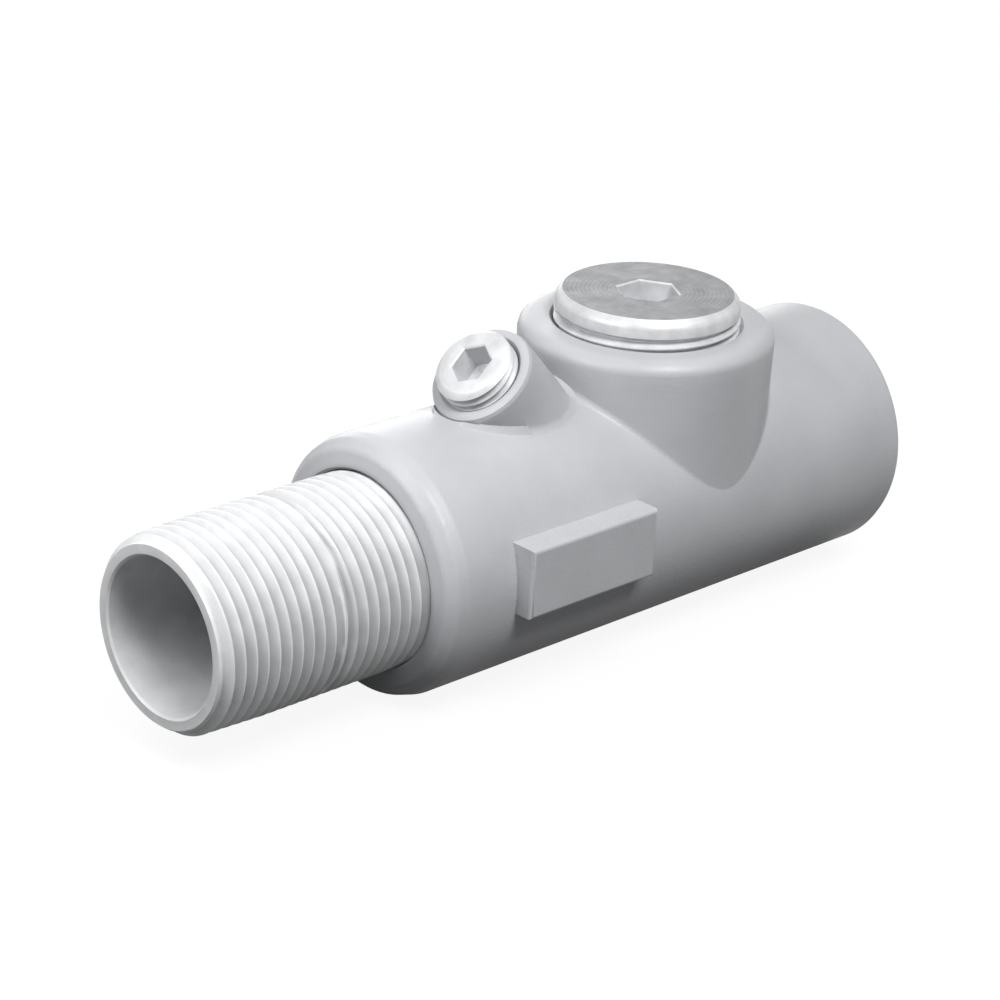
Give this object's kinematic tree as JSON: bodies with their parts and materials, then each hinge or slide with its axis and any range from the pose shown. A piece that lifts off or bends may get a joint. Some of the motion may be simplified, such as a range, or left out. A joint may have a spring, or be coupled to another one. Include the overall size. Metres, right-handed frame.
{
  "type": "conduit sealing fitting",
  "caption": "Cast conduit sealing fitting with a threaded nipple at one end, a tapped mouth at the other, an upright closure plug and a small leaning pouring plug.",
  "frame": {"origin": "on the conduit's axis, 1.2 mm inside the female mouth, where its thread starts", "axes": "+X along the conduit and out of the female mouth, +Z along the axis of the large closure plug and away from the body, the label pad faces -Y"},
  "size_m": [0.1497, 0.0477, 0.0569],
  "materials": {
    "cast_metal": "satin casting, fine grain",
    "nipple_metal": "bright plated pipe with cut threads",
    "plug_metal": "turned, bright sides"
  },
  "bodies": {
    "fitting": {"cast_body": "cast_metal", "threaded_nipple": "nipple_metal"},
    "large_plug": {"large_closure_plug": "plug_metal"},
    "small_plug": {"pouring_plug": "plug_metal"}
  },
  "joints": [
    {"name": "large_plug_lift", "type": "slide", "parent": "fitting", "child": "large_plug", "axis": [0, 0, 1], "range_m": [0, 0.022]},
    {"name": "pouring_plug_lift", "type": "slide", "parent": "fitting", "child": "small_plug", "axis": [-0.6691, 0, 0.7431], "range_m": [0, 0.016]}
  ]
}
